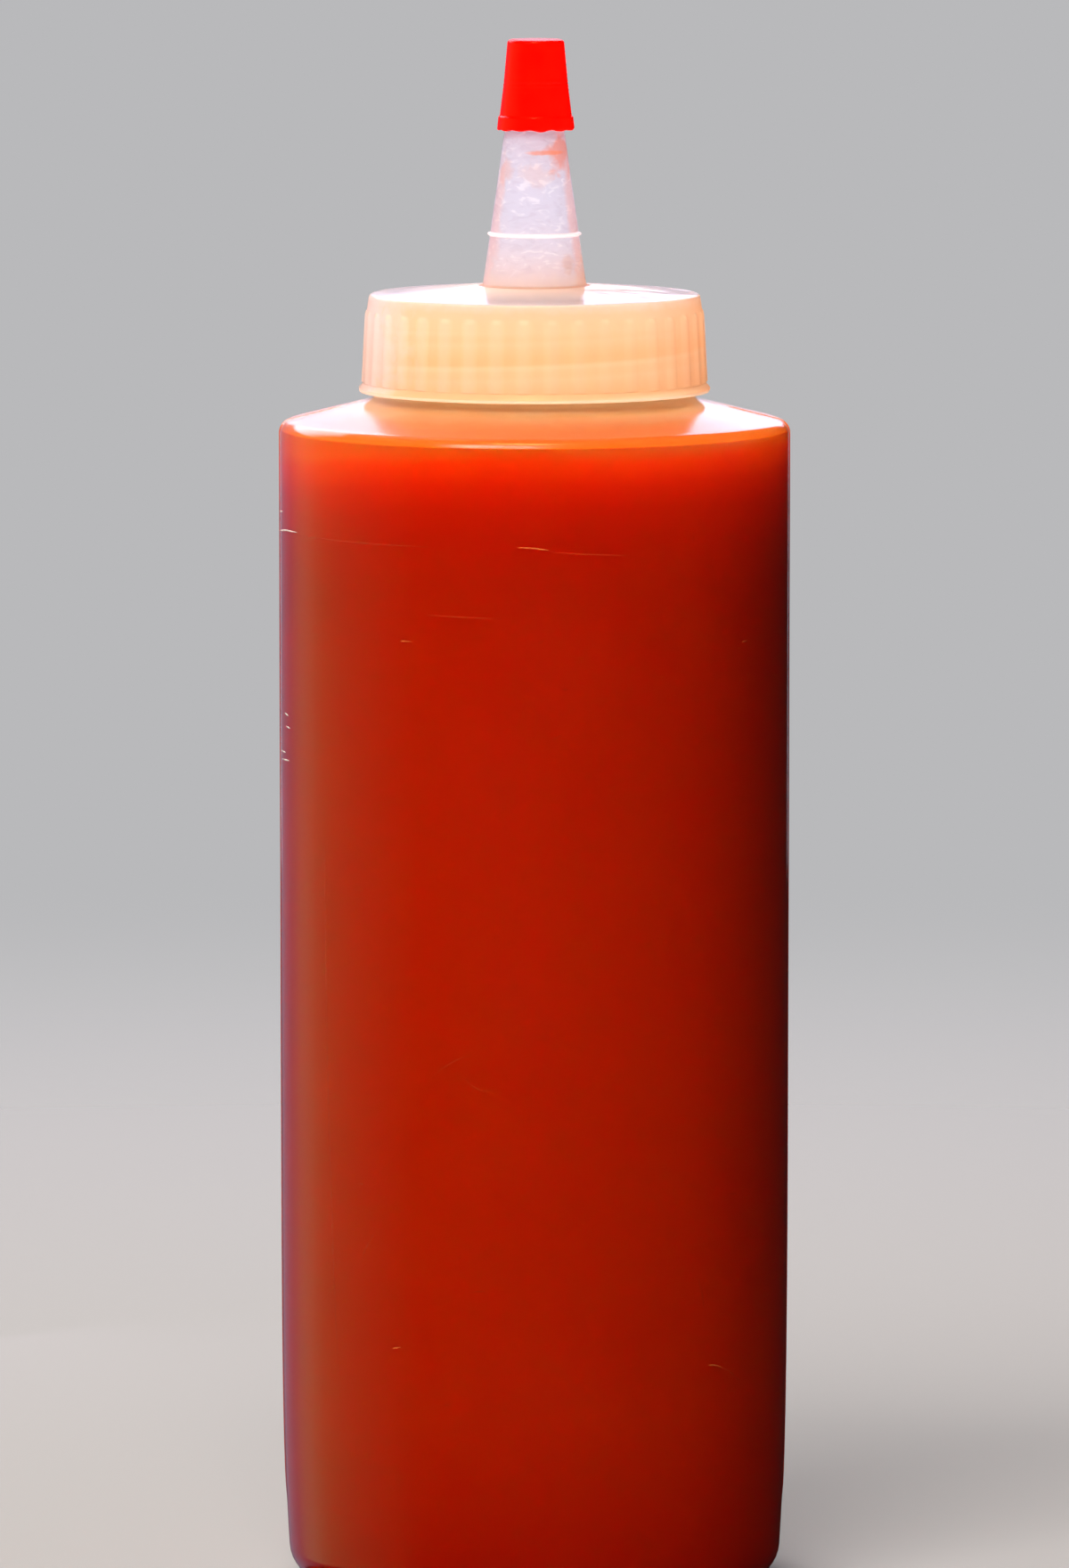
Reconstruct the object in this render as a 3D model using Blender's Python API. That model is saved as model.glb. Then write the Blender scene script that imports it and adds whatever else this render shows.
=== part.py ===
"""Squeeze bottle of barbecue sauce: a blown natural polyethylene bottle, the sauce in it,
a screwed-on spout cap and the small red cap that closes the spout.

+Z is up, the bottle stands on z = 0 and its axis is the Z axis.
Sizes below are in millimetres; the meshes are made in metres.
An outline is a list of (radius, height) points that is turned round Z.
"""
import math

import bmesh
import bpy

MM = 0.001
FIT_GAP = 0.3                  # clearance between two pieces that touch

# Bottle body
BODY_RADIUS = 29.7             # widest, just under the shoulder
BODY_DRAFT = 0.22              # radius lost by draft over the body's height
BASE_TUCK = 1.1                # the body draws in towards its foot by this, fading upwards
BASE_TUCK_FADE = 11.0
WALL = 0.85
BASE_WALL = 1.0

# Foot
FOOT_CORNER = 4.0              # outer corner radius
FOOT_RING_WIDTH = 2.4          # flat ring that the bottle stands on
PUSH_UP_RISE = 1.9             # hollow of the underside, at the edge of its dome
PUSH_UP_SLOPE = 3.4            # width over which it rises
PUSH_UP_CROWN = 0.7            # further rise of the dome at the axis

# Shoulder
SHOULDER_HEIGHT = 135.6        # where the cone and the body's side would meet
SHOULDER_SLOPE = math.radians(14.1)
SHOULDER_CORNER = 1.6

# Neck and mouth
NECK_RADIUS = 18.35
NECK_TOP = 140.2
NECK_FILLET = 0.9
ROOT_RADIUS = 17.4             # bottom of the thread
ROOT_START = 140.7
MOUTH_RADIUS = 16.2
MOUTH_EDGE = 0.2
MOUTH_HEIGHT = 149.1

# Thread on the neck
THREAD_PITCH = 4.23
THREAD_TURNS = 1.25
THREAD_START = 142.2           # height of its middle at the start, at the back
THREAD_CREST = 18.45
THREAD_BASE = 1.9
THREAD_TIP = 0.9
THREAD_SINK = 0.35             # how deep its base is set into the neck

# Parting line of the blow mould, up both sides
SEAM_WIDTH = 0.4
SEAM_HEIGHT = 0.12
SEAM_DEPTH = 0.4               # how deep the bead is set into the wall
SEAM_LOW = 8.0
SEAM_HIGH_RADIUS = 21.5        # the bead ends on the shoulder, at this radius

# Sauce
SAUCE_LEVEL = 133.8
SAUCE_EDGE = 0.5

# Cap
CAP_BOTTOM = 139.2
CAP_TOP = 150.55               # height of the top's rim
CAP_BORE = 18.8
CAP_UNDERSIDE = 149.4
CAP_RIM_RADIUS = 19.25
CAP_RIM_EDGE = 0.4
CAP_CROWN = 151.6              # height of the sloping top where the spout stands
SKIRT_TOP_RADIUS = 19.5        # between the ribs
SKIRT_BOTTOM_RADIUS = 19.95
LIP_RADIUS = 20.5
LIP_THICKNESS = 0.7
LIP_ROUND = 0.15
RIB_COUNT = 38
RIB_DEPTH = 0.28
RIB_TOP = 148.4
RIB_END = 0.5                  # height over which a rib's upper end rises
RIB_FOOT = 140.0

# Spout
SPOUT_BASE_RADIUS = 6.03
SPOUT_TAPER = 0.142            # radius lost for each unit of height
SPOUT_END = 178.6
SPOUT_EDGE = 0.2
SPOUT_FILLET = 0.35
SPOUT_WALL = 0.95
BEAD_HEIGHT = 157.6
BEAD_PROUD = 0.28
BEAD_HALF_WIDTH = 0.24

# Red tip
TIP_SHIFT = 0.15               # the tip sits a hair to one side
TIP_TOP = 180.2
TIP_TOP_RADIUS = 3.3
TIP_EDGE = 0.22
TIP_KNEE = 175.1               # where the side's taper changes
TIP_KNEE_RADIUS = 3.74
TIP_BAND_TOP = 171.4
TIP_BAND_TOP_RADIUS = 4.19
TIP_BAND_STEP = 0.17
TIP_BOTTOM = 169.75
TIP_BOTTOM_RADIUS = 4.52
TIP_INNER_TOP = 179.1
TIP_GAP = 0.35
SCALLOP_COUNT = 15
SCALLOP_DEPTH = 0.12

# Sides of each turned piece
BOTTLE_SIDES = 56
SAUCE_SIDES = 48
CAP_SIDES = 4 * RIB_COUNT
BORE_SIDES = 56
SPOUT_SIDES = 32
TIP_SIDES = 4 * SCALLOP_COUNT
THREAD_STEP = math.radians(9.0)

MERGE = 0.000001
SHARP_ANGLE = math.radians(32.0)


# ---------------------------------------------------------------- outlines

def arc(centre_r, centre_z, radius, start, end, steps):
    """Points on a round stretch, from the start angle to the end angle in degrees."""
    points = []
    for i in range(steps + 1):
        angle = math.radians(start + (end - start) * i / steps)
        points.append((centre_r + radius * math.cos(angle), centre_z + radius * math.sin(angle)))
    return points


def body_radius(z):
    """Outer radius of the body at height z: draft, and a tuck that grows towards the foot."""
    draft = BODY_DRAFT * (1 - z / SHOULDER_HEIGHT)
    return BODY_RADIUS - draft - BASE_TUCK * math.exp(-z / BASE_TUCK_FADE)


def shoulder_z(r):
    """Height of the shoulder's cone at radius r."""
    return SHOULDER_HEIGHT + math.tan(SHOULDER_SLOPE) * (BODY_RADIUS - r)


def side_heights(high, low, steps):
    """Heights down the body's side, closer together towards the foot, where it curves."""
    return [low + (high - low) * (1 - i / steps) ** 2 for i in range(steps + 1)]


def shoulder_corner(inset, steps):
    """Round stretch from the shoulder's cone to the body's side, inset from the outer face."""
    centre_r = BODY_RADIUS - SHOULDER_CORNER
    centre_z = shoulder_z(centre_r) - SHOULDER_CORNER / math.cos(SHOULDER_SLOPE)
    top = 90 - math.degrees(SHOULDER_SLOPE)
    return arc(centre_r, centre_z, SHOULDER_CORNER - inset, top, 0, steps)


def neck_corner(radius, fillet, inset, steps):
    """Round stretch from an upright face at a radius to the shoulder's cone, lowered by inset."""
    centre_r = radius + fillet
    centre_z = shoulder_z(centre_r) + (fillet - inset) / math.cos(SHOULDER_SLOPE)
    return arc(centre_r, centre_z, fillet, 180, 270 - math.degrees(SHOULDER_SLOPE), steps)


def foot_centre():
    """Centre of the foot's corner arc, which meets the body's side without a kink."""
    lean = math.degrees(math.atan(BASE_TUCK / BASE_TUCK_FADE * math.exp(-FOOT_CORNER / BASE_TUCK_FADE)))
    start_z = FOOT_CORNER * (1 - math.sin(math.radians(lean)))
    return body_radius(start_z) - FOOT_CORNER * math.cos(math.radians(lean)), start_z, lean


def foot(inset, floor, steps):
    """Foot's corner, standing ring and hollow underside, raised inside by the floor's thickness."""
    centre_r, _, lean = foot_centre()
    points = arc(centre_r, FOOT_CORNER, FOOT_CORNER - inset, -lean, -90, steps)
    if floor > inset:
        points = [(r, max(z, floor)) for r, z in points]
    ring = centre_r - FOOT_RING_WIDTH
    points.append((ring, floor))
    for part in (0.35, 0.65, 1.0):
        ease = part * part * (3 - 2 * part)
        points.append((ring - PUSH_UP_SLOPE * part, floor + PUSH_UP_RISE * ease))
    points.append((0, floor + PUSH_UP_RISE + PUSH_UP_CROWN))
    return points


def body_side(inset, steps):
    """Body's side from under the shoulder's corner to the top of the foot's corner."""
    _, low, _ = foot_centre()
    high = shoulder_corner(0, 1)[-1][1]
    return [(body_radius(z) - inset, z) for z in side_heights(high, low, steps)[1:-1]]


def bottle_outline():
    """Up the inside from the floor's middle, over the mouth and down the outside."""
    inside = foot(WALL, BASE_WALL, 4)[::-1]
    inside += body_side(WALL, 6)[::-1]
    inside += shoulder_corner(WALL, 2)[::-1]
    inside += neck_corner(MOUTH_RADIUS, NECK_FILLET, WALL, 2)[::-1]
    mouth = [
        (MOUTH_RADIUS, MOUTH_HEIGHT - MOUTH_EDGE),
        (MOUTH_RADIUS + MOUTH_EDGE, MOUTH_HEIGHT),
        (ROOT_RADIUS - MOUTH_EDGE, MOUTH_HEIGHT),
        (ROOT_RADIUS, MOUTH_HEIGHT - MOUTH_EDGE),
        (ROOT_RADIUS, ROOT_START),
        (NECK_RADIUS, NECK_TOP),
    ]
    outside = neck_corner(NECK_RADIUS, NECK_FILLET, 0, 3)
    outside += shoulder_corner(0, 5)
    outside += body_side(0, 8)
    outside += foot(0, 0, 5)
    return inside + mouth + outside


def sauce_outline():
    """Down the outside of the fill, a fit gap clear of the bottle's inner face."""
    inset = WALL + FIT_GAP
    side = body_radius(SAUCE_LEVEL) - inset
    points = [(0, SAUCE_LEVEL), (side - SAUCE_EDGE, SAUCE_LEVEL), (side, SAUCE_LEVEL - SAUCE_EDGE)]
    points += body_side(inset, 6)
    return points + foot(inset, BASE_WALL + FIT_GAP, 3)


def skirt_radius(z):
    """Radius of the cap's side between its ribs."""
    share = (z - RIB_FOOT) / (RIB_TOP + RIB_END - RIB_FOOT)
    return SKIRT_BOTTOM_RADIUS + (SKIRT_TOP_RADIUS - SKIRT_BOTTOM_RADIUS) * share


def spout_radius(z):
    """Outer radius of the spout at height z."""
    return SPOUT_BASE_RADIUS - SPOUT_TAPER * (z - CAP_CROWN)


def cap_outline():
    """Cap without its spout or its bore: sloping top, side and lip."""
    lip_top = CAP_BOTTOM + LIP_THICKNESS
    return [
        (0, CAP_CROWN),
        (SPOUT_BASE_RADIUS, CAP_CROWN),
        (CAP_RIM_RADIUS - CAP_RIM_EDGE, CAP_TOP),
        (CAP_RIM_RADIUS, CAP_TOP - CAP_RIM_EDGE),
        (skirt_radius(RIB_TOP + RIB_END), RIB_TOP + RIB_END),
        (skirt_radius(RIB_TOP), RIB_TOP),
        (skirt_radius(RIB_FOOT), RIB_FOOT),
        (LIP_RADIUS - LIP_ROUND, lip_top),
        (LIP_RADIUS, lip_top - LIP_ROUND),
        (LIP_RADIUS, CAP_BOTTOM + LIP_ROUND),
        (LIP_RADIUS - LIP_ROUND, CAP_BOTTOM),
        (0, CAP_BOTTOM),
    ]


def rib_relief(azimuth, r, z):
    """Raises every other pair of the cap's meridians into a rib between its foot and its top."""
    on_side = RIB_FOOT - MERGE <= z <= RIB_TOP + MERGE and r > CAP_RIM_RADIUS
    on_rib = math.cos(RIB_COUNT * azimuth - math.pi / 4) > 0
    return (RIB_DEPTH, 0) if on_side and on_rib else (0, 0)


def spout_outline():
    """Spout as a solid cone, with its bead and a small fillet where it meets the cap's top."""
    bead_low = BEAD_HEIGHT - BEAD_HALF_WIDTH
    bead_high = BEAD_HEIGHT + BEAD_HALF_WIDTH
    fillet_top = CAP_CROWN + SPOUT_FILLET
    return [
        (0, SPOUT_END),
        (spout_radius(SPOUT_END) - SPOUT_EDGE, SPOUT_END),
        (spout_radius(SPOUT_END), SPOUT_END - SPOUT_EDGE),
        (spout_radius(bead_high), bead_high),
        (spout_radius(BEAD_HEIGHT) + BEAD_PROUD, BEAD_HEIGHT + BEAD_HALF_WIDTH / 2),
        (spout_radius(BEAD_HEIGHT) + BEAD_PROUD, BEAD_HEIGHT - BEAD_HALF_WIDTH / 2),
        (spout_radius(bead_low), bead_low),
        (spout_radius(fillet_top), fillet_top),
        (SPOUT_BASE_RADIUS + SPOUT_FILLET, CAP_CROWN - SPOUT_FILLET / 2),
        (SPOUT_BASE_RADIUS + SPOUT_FILLET, CAP_UNDERSIDE + FIT_GAP),
        (0, CAP_UNDERSIDE + FIT_GAP),
    ]


def bore_outline():
    """Room inside the cap's side, open at the bottom."""
    return [(0, CAP_UNDERSIDE), (CAP_BORE, CAP_UNDERSIDE), (CAP_BORE, CAP_BOTTOM - 1), (0, CAP_BOTTOM - 1)]


def channel_outline():
    """Channel up through the spout, open at both ends."""
    low = CAP_UNDERSIDE - 1
    high = SPOUT_END + 1
    return [
        (0, high),
        (spout_radius(high) - SPOUT_WALL, high),
        (spout_radius(low) - SPOUT_WALL, low),
        (0, low),
    ]


def tip_outline():
    """Up the inside of the tip from its middle, out under its lower edge and down the outside."""
    inner = spout_radius(TIP_INNER_TOP) + TIP_GAP
    inside = [
        (0, TIP_INNER_TOP),
        (inner, TIP_INNER_TOP),
        (spout_radius(TIP_BOTTOM) + TIP_GAP, TIP_BOTTOM),
    ]
    outside = [
        (0, TIP_TOP),
        (TIP_TOP_RADIUS - TIP_EDGE, TIP_TOP),
        (TIP_TOP_RADIUS, TIP_TOP - TIP_EDGE),
        (TIP_KNEE_RADIUS, TIP_KNEE),
        (TIP_BAND_TOP_RADIUS, TIP_BAND_TOP),
        (TIP_BAND_TOP_RADIUS + TIP_BAND_STEP, TIP_BAND_TOP - TIP_BAND_STEP),
        (TIP_BOTTOM_RADIUS, TIP_BOTTOM + TIP_EDGE),
        (TIP_BOTTOM_RADIUS - TIP_EDGE, TIP_BOTTOM),
    ]
    return outside + inside[::-1]


def scallop_relief(azimuth, r, z):
    """Waves the tip's lower edge up and down round its rim."""
    on_edge = z < TIP_BOTTOM + TIP_EDGE / 2
    return (0, SCALLOP_DEPTH * math.cos(SCALLOP_COUNT * azimuth)) if on_edge else (0, 0)


# ---------------------------------------------------------------- making meshes

def finish(bm, name, material, smooth=True):
    """Puts a bmesh into a new object, with its faces pointing out and round faces smooth."""
    bmesh.ops.recalc_face_normals(bm, faces=bm.faces)
    mesh = bpy.data.meshes.new(name)
    bm.to_mesh(mesh)
    bm.free()
    if smooth:
        mesh.shade_smooth()
        mesh.set_sharp_from_angle(angle=SHARP_ANGLE)
    obj = bpy.data.objects.new(name, mesh)
    bpy.context.scene.collection.objects.link(obj)
    if material:
        mesh.materials.append(material)
    return obj


def turn(name, outline, sides, material=None, relief=None):
    """Turns an outline round Z into a closed solid; relief moves its points by (radius, height)."""
    bm = bmesh.new()
    verts = [bm.verts.new((r * MM, 0, z * MM)) for r, z in outline]
    edges = [bm.edges.new(pair) for pair in zip(verts, verts[1:])]
    if outline[0][0] > 0:
        edges.append(bm.edges.new((verts[-1], verts[0])))
    bmesh.ops.spin(bm, geom=verts + edges, cent=(0, 0, 0), axis=(0, 0, 1),
                   angle=2 * math.pi, steps=sides, use_merge=True)
    bmesh.ops.remove_doubles(bm, verts=bm.verts, dist=MERGE)
    if relief:
        for vert in bm.verts:
            radius = math.hypot(vert.co.x, vert.co.y)
            azimuth = math.atan2(vert.co.y, vert.co.x)
            out, up = relief(azimuth, radius / MM, vert.co.z / MM)
            vert.co.x += out * MM * math.cos(azimuth)
            vert.co.y += out * MM * math.sin(azimuth)
            vert.co.z += up * MM
    return finish(bm, name, material)


def thread_ridge(name):
    """Raised thread: one section carried up a helix, its two ends sunk into the neck."""
    low = ROOT_RADIUS - THREAD_SINK
    start = THREAD_START
    section = [
        (low, start - THREAD_BASE / 2),
        (THREAD_CREST, start - THREAD_TIP / 2),
        (THREAD_CREST, start + THREAD_TIP / 2),
        (low, start + THREAD_BASE / 2),
    ]
    sweep = 2 * math.pi * THREAD_TURNS
    steps = round(sweep / THREAD_STEP)
    rise = THREAD_PITCH * THREAD_TURNS * MM
    bm = bmesh.new()
    verts = [bm.verts.new((0, r * MM, z * MM)) for r, z in section]
    face = bm.faces.new(verts)
    swept = bmesh.ops.spin(bm, geom=[face], cent=(0, 0, 0), axis=(0, 0, 1),
                           dvec=(0, 0, rise / steps), angle=sweep, steps=steps)
    ends = verts + [item for item in swept["geom_last"] if isinstance(item, bmesh.types.BMVert)]
    for vert in ends:
        radius = math.hypot(vert.co.x, vert.co.y)
        if radius > ROOT_RADIUS * MM:
            shrink = low * MM / radius + MERGE
            vert.co.x *= shrink
            vert.co.y *= shrink
    return finish(bm, name, None)


def seam_bead(name, side):
    """Parting-line bead up one side (+1 or -1): a thin strip that follows the bottle's outline."""
    path = [p for p in shoulder_corner(0, 5) + body_side(0, 8) if p[1] > SEAM_LOW]
    path.append((body_radius(SEAM_LOW), SEAM_LOW))
    path.insert(0, (SEAM_HIGH_RADIUS, shoulder_z(SEAM_HIGH_RADIUS)))
    outer, inner = [], []
    for i, (r, z) in enumerate(path):
        before, after = path[max(i - 1, 0)], path[min(i + 1, len(path) - 1)]
        run_r, run_z = after[0] - before[0], after[1] - before[1]
        length = math.hypot(run_r, run_z)
        out_r, out_z = -run_z / length, run_r / length
        proud = -SEAM_DEPTH / 2 if i in (0, len(path) - 1) else SEAM_HEIGHT
        outer.append((r + out_r * proud, z + out_z * proud))
        inner.append((r - out_r * SEAM_DEPTH, z - out_z * SEAM_DEPTH))
    bm = bmesh.new()
    ring = [bm.verts.new((side * r * MM, -SEAM_WIDTH / 2 * MM, z * MM)) for r, z in outer + inner[::-1]]
    face = bm.faces.new(ring)
    pushed = bmesh.ops.extrude_face_region(bm, geom=[face], use_keep_orig=True)
    moved = [item for item in pushed["geom"] if isinstance(item, bmesh.types.BMVert)]
    bmesh.ops.translate(bm, verts=moved, vec=(0, SEAM_WIDTH * MM, 0))
    return finish(bm, name, None, smooth=False)


def combine(target, tool, operation):
    """Joins or cuts the target with a guide object, which stays out of the finished model."""
    tool.hide_render = True
    tool.display_type = "WIRE"
    modifier = target.modifiers.new(tool.name, "BOOLEAN")
    modifier.operation = operation
    modifier.solver = "EXACT"
    modifier.object = tool


def plastic(name, colour, roughness, transmission=0.0):
    """Principled material of one piece."""
    material = bpy.data.materials.new(name)
    material.use_nodes = True
    shader = material.node_tree.nodes["Principled BSDF"]
    shader.inputs["Base Color"].default_value = (*colour, 1)
    shader.inputs["Roughness"].default_value = roughness
    shader.inputs["Metallic"].default_value = 0.0
    shader.inputs["Transmission Weight"].default_value = transmission
    return material


# ---------------------------------------------------------------- pieces

def make_bottle():
    """Blown bottle, open at its mouth, with its thread and parting line."""
    bottle = turn("bottle", bottle_outline(), BOTTLE_SIDES,
                  plastic("natural polyethylene", (0.86, 0.80, 0.76), 0.3, 0.7))
    combine(bottle, thread_ridge("guide_thread"), "UNION")
    combine(bottle, seam_bead("guide_seam_right", 1), "UNION")
    combine(bottle, seam_bead("guide_seam_left", -1), "UNION")
    return bottle


def make_sauce():
    """Sauce, a solid up to its level."""
    return turn("sauce", sauce_outline(), SAUCE_SIDES,
                plastic("barbecue sauce", (0.45, 0.03, 0.005), 0.4))


def make_spout_cap():
    """Screw cap with ribbed side, lip, sloping top and hollow spout, moulded in one."""
    cap = turn("spout_cap", cap_outline(), CAP_SIDES,
               plastic("moulded polyethylene", (0.90, 0.84, 0.80), 0.3, 0.6), rib_relief)
    combine(cap, turn("guide_spout", spout_outline(), SPOUT_SIDES), "UNION")
    combine(cap, turn("guide_bore", bore_outline(), BORE_SIDES), "DIFFERENCE")
    combine(cap, turn("guide_channel", channel_outline(), SPOUT_SIDES), "DIFFERENCE")
    return cap


def make_tip_cap():
    """Small red cap over the end of the spout."""
    tip = turn("tip_cap", tip_outline(), TIP_SIDES,
               plastic("red polyethylene", (0.80, 0.01, 0.005), 0.35), scallop_relief)
    tip.location.x = TIP_SHIFT * MM
    return tip


def main():
    for obj in list(bpy.data.objects):
        bpy.data.objects.remove(obj, do_unlink=True)
    make_bottle()
    make_sauce()
    make_spout_cap()
    make_tip_cap()


main()
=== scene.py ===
import math
import bpy
import numpy as np
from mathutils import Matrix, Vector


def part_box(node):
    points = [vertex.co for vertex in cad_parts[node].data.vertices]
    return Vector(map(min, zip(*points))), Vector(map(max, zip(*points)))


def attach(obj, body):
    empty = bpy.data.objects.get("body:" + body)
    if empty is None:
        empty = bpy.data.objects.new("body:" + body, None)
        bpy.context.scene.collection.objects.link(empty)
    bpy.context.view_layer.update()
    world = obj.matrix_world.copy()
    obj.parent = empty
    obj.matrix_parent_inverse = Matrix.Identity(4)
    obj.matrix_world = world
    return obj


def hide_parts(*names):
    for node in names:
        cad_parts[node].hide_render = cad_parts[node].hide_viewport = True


# Squeeze bottle of barbecue sauce. Lengths are millimetres and angles degrees until a mesh is made, and the
# scale of a noise is 1000 / its size.
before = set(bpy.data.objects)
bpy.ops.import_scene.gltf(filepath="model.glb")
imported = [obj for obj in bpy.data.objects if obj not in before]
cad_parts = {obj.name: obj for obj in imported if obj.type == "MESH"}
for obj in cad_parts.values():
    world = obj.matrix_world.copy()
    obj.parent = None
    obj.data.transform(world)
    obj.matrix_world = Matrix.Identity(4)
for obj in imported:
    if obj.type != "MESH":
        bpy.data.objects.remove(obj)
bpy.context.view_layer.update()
mm = 0.001  # in metres


def linearColor(hexText):
    # sRGB to linear: c / 12.92 up to 0.04045, else ((c + 0.055) / 1.055) to the power 2.4
    channels = [int(hexText[i:i + 2], 16) / 255 for i in (1, 3, 5)]
    return (*[c / 12.92 if c <= 0.04045 else ((c + 0.055) / 1.055) ** 2.4 for c in channels], 1)


def addNode(tree, kind, settings=None):
    # a setting is an attribute, an input's value, the socket or node that feeds an input, or a ramp's stops
    # as {position: hex}. A node feeds with its first output in use
    node = tree.nodes.new("ShaderNode" + kind)
    for name, value in (settings or {}).items():
        if isinstance(value, bpy.types.Node):
            value = next(socket for socket in value.outputs if socket.enabled)
        if name == "stops":
            ramp = node.color_ramp.elements
            while len(ramp) < len(value):
                ramp.new(1)
            for stop, (place, color) in zip(ramp, sorted(value.items())):
                stop.position = place
                stop.color = linearColor(color)
        elif isinstance(value, bpy.types.NodeSocket):
            tree.links.new(value, node.inputs[name])
        elif isinstance(name, str) and hasattr(node, name):
            setattr(node, name, value)
        else:
            node.inputs[name].default_value = value
    return node


def newMaterial(name):
    # an empty material, its tree, and the piece's own coordinates
    material = bpy.data.materials.new(name)
    material.use_nodes = True
    tree = material.node_tree
    tree.nodes.clear()
    return material, tree, addNode(tree, "TexCoord").outputs["Object"]


def rampStops(stops, low, high):
    # places a ramp's stops, given by height in millimetres, between 0 at the low height and 1 at the high
    return {(z - low) / (high - low): color for z, color in stops.items()}


def smoothStep(x):
    # 3 x^2 - 2 x^3 between 0 and 1, level outside
    x = np.clip(x, 0, 1)
    return x * x * (3 - 2 * x)


def ripple(angle, height, wavesRound, waveHeight, seed):
    # mean of eight waves sin(n a + 2 pi z / length + phase), with whole n so that each closes round the axis
    draw = np.random.default_rng(seed)
    total = 0 * angle * height
    for _ in range(8):
        count = draw.integers(-wavesRound, wavesRound + 1)
        length = waveHeight * draw.uniform(0.7, 2.0) * draw.choice((-1, 1))
        total = total + np.sin(count * angle + 2 * np.pi * height / length + draw.uniform(0, 2 * np.pi))
    return total / 8


def arcPath(centreR, centreZ, radius, start, end, steps):
    # a circle's points: centre + radius (cos t, sin t), with t running evenly from start to end
    t = np.radians(np.linspace(start, end, steps))
    return np.column_stack((centreR + radius * np.cos(t), centreZ + radius * np.sin(t)))


def roundedPath(corners, steps=5):
    # a corner (r, z, cut) is cut back by its distance on both sides, and the parabola
    # (1-t)^2 start + 2t(1-t) corner + t^2 end bridges the cut
    corners = np.array(corners, dtype=float)
    place, cut = corners[:, :2], corners[:, 2:]
    back = np.roll(place, 1, axis=0) - place
    ahead = np.roll(place, -1, axis=0) - place
    start = place + cut * back / np.linalg.norm(back, axis=1, keepdims=True)
    end = place + cut * ahead / np.linalg.norm(ahead, axis=1, keepdims=True)
    t = np.linspace(0, 1, steps)[None, :, None]
    curve = (1 - t) ** 2 * start[:, None] + 2 * t * (1 - t) * place[:, None] + t**2 * end[:, None]
    return curve.reshape(-1, 2)


def spacedPath(path, spacing, nearest=0.02):
    # keeps the path's own points and adds evenly spaced ones along its length, none nearer than a hair
    run = np.concatenate(([0], np.cumsum(np.hypot(*np.diff(path, axis=0).T))))
    marks = np.union1d(run, np.linspace(0, run[-1], int(run[-1] / spacing) + 2))
    marks = marks[np.concatenate(([True], np.diff(marks) > nearest))]
    marks[-1] = run[-1]
    return np.column_stack([np.interp(marks, run, path[:, k]) for k in (0, 1)])


def joinedPath(*paths, nearest=0.01):
    # one path after another, without a joint's point twice
    path = np.vstack(paths)
    gaps = np.hypot(*np.diff(path, axis=0).T)
    return path[np.concatenate(([True], gaps > nearest))]


def pathNormals(path, looped=False):
    # the direction from the point before to the point after, turned a quarter: (dr, dz) gives (-dz, dr)
    ahead = np.roll(path, -1, axis=0)
    back = np.roll(path, 1, axis=0)
    if not looped:
        ahead[-1] = path[-1]
        back[0] = path[0]
    run = ahead - back
    return np.column_stack((-run[:, 1], run[:, 0])) / np.linalg.norm(run, axis=1, keepdims=True)


def turned(path, normals, azimuths, relief=0.0):
    # x = R cos a, y = R sin a, z = H, where (R, H) is the path's point moved along its normal by the relief
    radius = path[:, :1] + normals[:, :1] * relief
    height = path[:, 1:] + normals[:, 1:] * relief
    radius, height, angle = np.broadcast_arrays(radius, height, azimuths[None, :])
    return np.stack((radius * np.cos(angle), radius * np.sin(angle), height), axis=-1)


def surfaceFaces(points, looped):
    # faces between neighbouring rows and columns of a grid whose columns close on themselves. Looped rows
    # close too; otherwise each end row becomes one pole with a fan of triangles. A negative signed volume,
    # the sum of v0 . (v1 x v2), turns the faces over
    rows, columns = points.shape[:2]
    numbers = np.arange(rows * columns).reshape(rows, columns)
    if not looped:
        numbers[0] = numbers[0, 0]
        numbers[-1] = numbers[-1, 0]
    upper = numbers if looped else numbers[:-1]
    lower = np.roll(numbers, -1, axis=0) if looped else numbers[1:]
    quads = np.stack((upper, lower, np.roll(lower, -1, axis=1), np.roll(upper, -1, axis=1)), axis=-1)
    quads = quads.reshape(-1, 4)
    flat = points.reshape(-1, 3)
    a, b, c, d = (flat[quads[:, k]] for k in range(4))
    volume = np.sum(a * np.cross(b, c)) + np.sum(a * np.cross(c, d))
    faces = [quads] if looped else [quads[columns:-columns], quads[:columns, :3], quads[-columns:, [0, 1, 3]]]
    return [face[:, ::-1] if volume < 0 else face for face in faces]


def addObject(name, data):
    # a new object in the scene, round this data
    made = bpy.data.objects.new(name, data)
    bpy.context.scene.collection.objects.link(made)
    return made


def makePiece(name, surfaces, material, replaced=None):
    # puts closed grids of points into one smooth mesh in metres and hands the piece to the frame
    places, faces, count = [], [], 0
    for points, looped in surfaces:
        made = surfaceFaces(points, looped)
        used, order = np.unique(np.concatenate([face.ravel() for face in made]), return_inverse=True)
        places.append(points.reshape(-1, 3)[used] * mm)
        start = 0
        for face in made:
            faces += (order[start:start + face.size].reshape(face.shape) + count).tolist()
            start += face.size
        count += len(used)
    mesh = bpy.data.meshes.new(name)
    mesh.from_pydata(np.vstack(places), [], faces)
    mesh.validate()
    mesh.shade_smooth()
    mesh.materials.append(material)
    piece = addObject(name, mesh)
    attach(piece, "root")
    if replaced:
        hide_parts(replaced)
    print(f"{name}: {sum(len(face) - 2 for face in faces)} triangles")
    return piece


def evenAzimuths(count):
    # whole steps of 2 pi / count from 0
    return np.arange(count) * 2 * np.pi / count


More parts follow.
